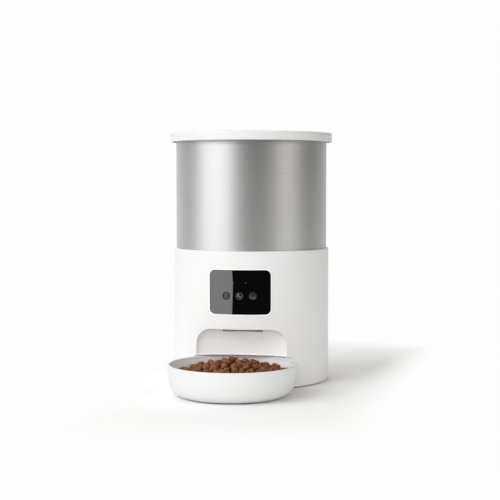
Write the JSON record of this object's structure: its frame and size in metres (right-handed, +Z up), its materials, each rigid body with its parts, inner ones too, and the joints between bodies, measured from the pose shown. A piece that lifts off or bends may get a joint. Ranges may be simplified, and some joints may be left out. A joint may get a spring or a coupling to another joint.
{
  "type": "automatic pet feeder",
  "caption": "Round automatic pet feeder with a white housing, brushed steel hopper, lift-off lid, curved camera window, arched food chute and a pull-out round bowl.",
  "frame": {"origin": "centre of the round housing's footprint, on the floor that the feeder stands on", "axes": "+Z up along the axis of the housing and hopper; the front, with its window, mouth and bowl, faces -Y; +X is to the viewer's right when looking at the front"},
  "size_m": [0.1982, 0.3031, 0.3024],
  "materials": {
    "housing_white": "satin moulded",
    "lid_white": "satin moulded",
    "bowl_white": "smooth gloss",
    "inner_white": "plain moulded",
    "base_grey": "fine texture",
    "brushed_steel": "brushed round the sleeve",
    "window_black": "high gloss",
    "lens_glass": "polished",
    "ir_lens": "polished",
    "red_light": "diffusing",
    "green_light": "diffusing",
    "black_plastic": "plain moulded",
    "circuit_board": "solder mask",
    "ribbon_grey": "plain",
    "battery_wrap": "plain wrap",
    "spring_steel": "plated",
    "screw_steel": "plated",
    "motor_steel": "plated",
    "bush_brass": "turned",
    "gear_plastic": "natural",
    "tank_grey": "smooth moulded",
    "silicone_grey": "soft",
    "rubber_grey": "soft",
    "desiccant_paper": "woven wrap",
    "kibble": "baked, coarse"
  },
  "bodies": {
    "base": {"housing": "housing_white", "base_plate": "base_grey", "non_slip_ring": "rubber_grey", "base_screws": "screw_steel", "dispenser_deck": "inner_white", "deck_screws": "screw_steel", "chute": "housing_white", "window_bezel": "housing_white", "camera_window": "window_black", "camera_lens": "lens_glass", "camera_barrel": "black_plastic", "left_ir_lens": "ir_lens", "right_ir_lens": "ir_lens", "red_status_light": "red_light", "green_status_light": "green_light", "camera_board": "circuit_board", "main_board": "circuit_board", "ribbon_cable": "ribbon_grey", "speaker": "black_plastic", "power_board": "circuit_board", "power_socket": "black_plastic", "reset_switch": "black_plastic", "reset_spring": "spring_steel", "battery_tray": "inner_white", "battery_1": "battery_wrap", "battery_2": "battery_wrap", "battery_3": "battery_wrap", "battery_springs": "spring_steel", "battery_contacts": "spring_steel", "gear_case_lower": "inner_white", "gear_case_upper": "inner_white", "gear_case_screws": "screw_steel", "output_bush": "bush_brass", "idler_axle": "screw_steel", "motor": "motor_steel"},
    "reset_button": {"reset_button": "housing_white"},
    "battery_door": {"battery_door": "base_grey"},
    "bowl": {"bowl": "bowl_white", "bowl_foot_ring": "rubber_grey"},
    "pinion": {"motor_pinion": "bush_brass"},
    "idler": {"idler_gear": "gear_plastic"},
    "drive": {"drive_gear": "gear_plastic", "drive_shaft": "screw_steel", "drive_dog": "gear_plastic"},
    "hopper": {"hopper_sleeve": "brushed_steel", "hopper_tank": "tank_grey", "metering_chamber": "tank_grey", "drop_cover": "silicone_grey"},
    "rotor": {"rotor_hub": "gear_plastic", "rotor_paddles": "silicone_grey", "agitator": "gear_plastic"},
    "lid": {"lid": "lid_white", "lid_seal": "silicone_grey", "desiccant_holder": "lid_white", "desiccant_pack": "desiccant_paper", "left_latch_spring": "spring_steel", "right_latch_spring": "spring_steel"},
    "left_latch": {"left_lid_latch": "lid_white"},
    "right_latch": {"right_lid_latch": "lid_white"},
    "desiccant_grille": {"desiccant_grille": "lid_white"}
  },
  "joints": [
    {"name": "hopper_lift", "type": "slide", "parent": "base", "child": "hopper", "axis": [0, 0, 1], "range_m": [0, 0.05]},
    {"name": "lid_lift", "type": "slide", "parent": "hopper", "child": "lid", "axis": [0, 0, 1], "range_m": [0, 0.06]},
    {"name": "left_latch_press", "type": "slide", "parent": "lid", "child": "left_latch", "axis": [1, 0, 0], "range_m": [0, 0.0025], "stiffness_N_per_m": 400, "deforming": ["left_latch_spring"]},
    {"name": "right_latch_press", "type": "slide", "parent": "lid", "child": "right_latch", "axis": [-1, 0, 0], "range_m": [0, 0.0025], "stiffness_N_per_m": 400, "deforming": ["right_latch_spring"]},
    {"name": "grille_twist", "type": "hinge", "parent": "lid", "child": "desiccant_grille", "pos_m": [0, 0, 0.28], "axis": [0, 0, 1], "range_deg": [0, 30]},
    {"name": "rotor_spin", "type": "hinge", "parent": "hopper", "child": "rotor", "pos_m": [0, 0, 0.12], "axis": [0, 0, 1], "continuous": true},
    {"name": "drive_spin", "type": "hinge", "parent": "base", "child": "drive", "pos_m": [0, 0, 0.09], "axis": [0, 0, 1], "continuous": true},
    {"name": "idler_spin", "type": "hinge", "parent": "base", "child": "idler", "pos_m": [0, 0.026, 0.09], "axis": [0, 0, 1], "continuous": true},
    {"name": "pinion_spin", "type": "hinge", "parent": "base", "child": "pinion", "pos_m": [0, 0.049, 0.085], "axis": [0, 0, 1], "continuous": true},
    {"name": "bowl_slide", "type": "slide", "parent": "base", "child": "bowl", "axis": [0, -1, 0], "range_m": [0, 0.08]},
    {"name": "battery_door_slide", "type": "slide", "parent": "base", "child": "battery_door", "axis": [0, 1, 0], "range_m": [0, 0.01]},
    {"name": "reset_press", "type": "slide", "parent": "base", "child": "reset_button", "axis": [0, -1, 0], "range_m": [0, 0.0012], "stiffness_N_per_m": 400, "deforming": ["reset_spring"]}
  ],
  "couplings": [
    {"joint": "drive_spin", "follows": "rotor_spin", "ratio": 1},
    {"joint": "idler_spin", "follows": "rotor_spin", "ratio": -3.3333},
    {"joint": "pinion_spin", "follows": "rotor_spin", "ratio": 12}
  ]
}
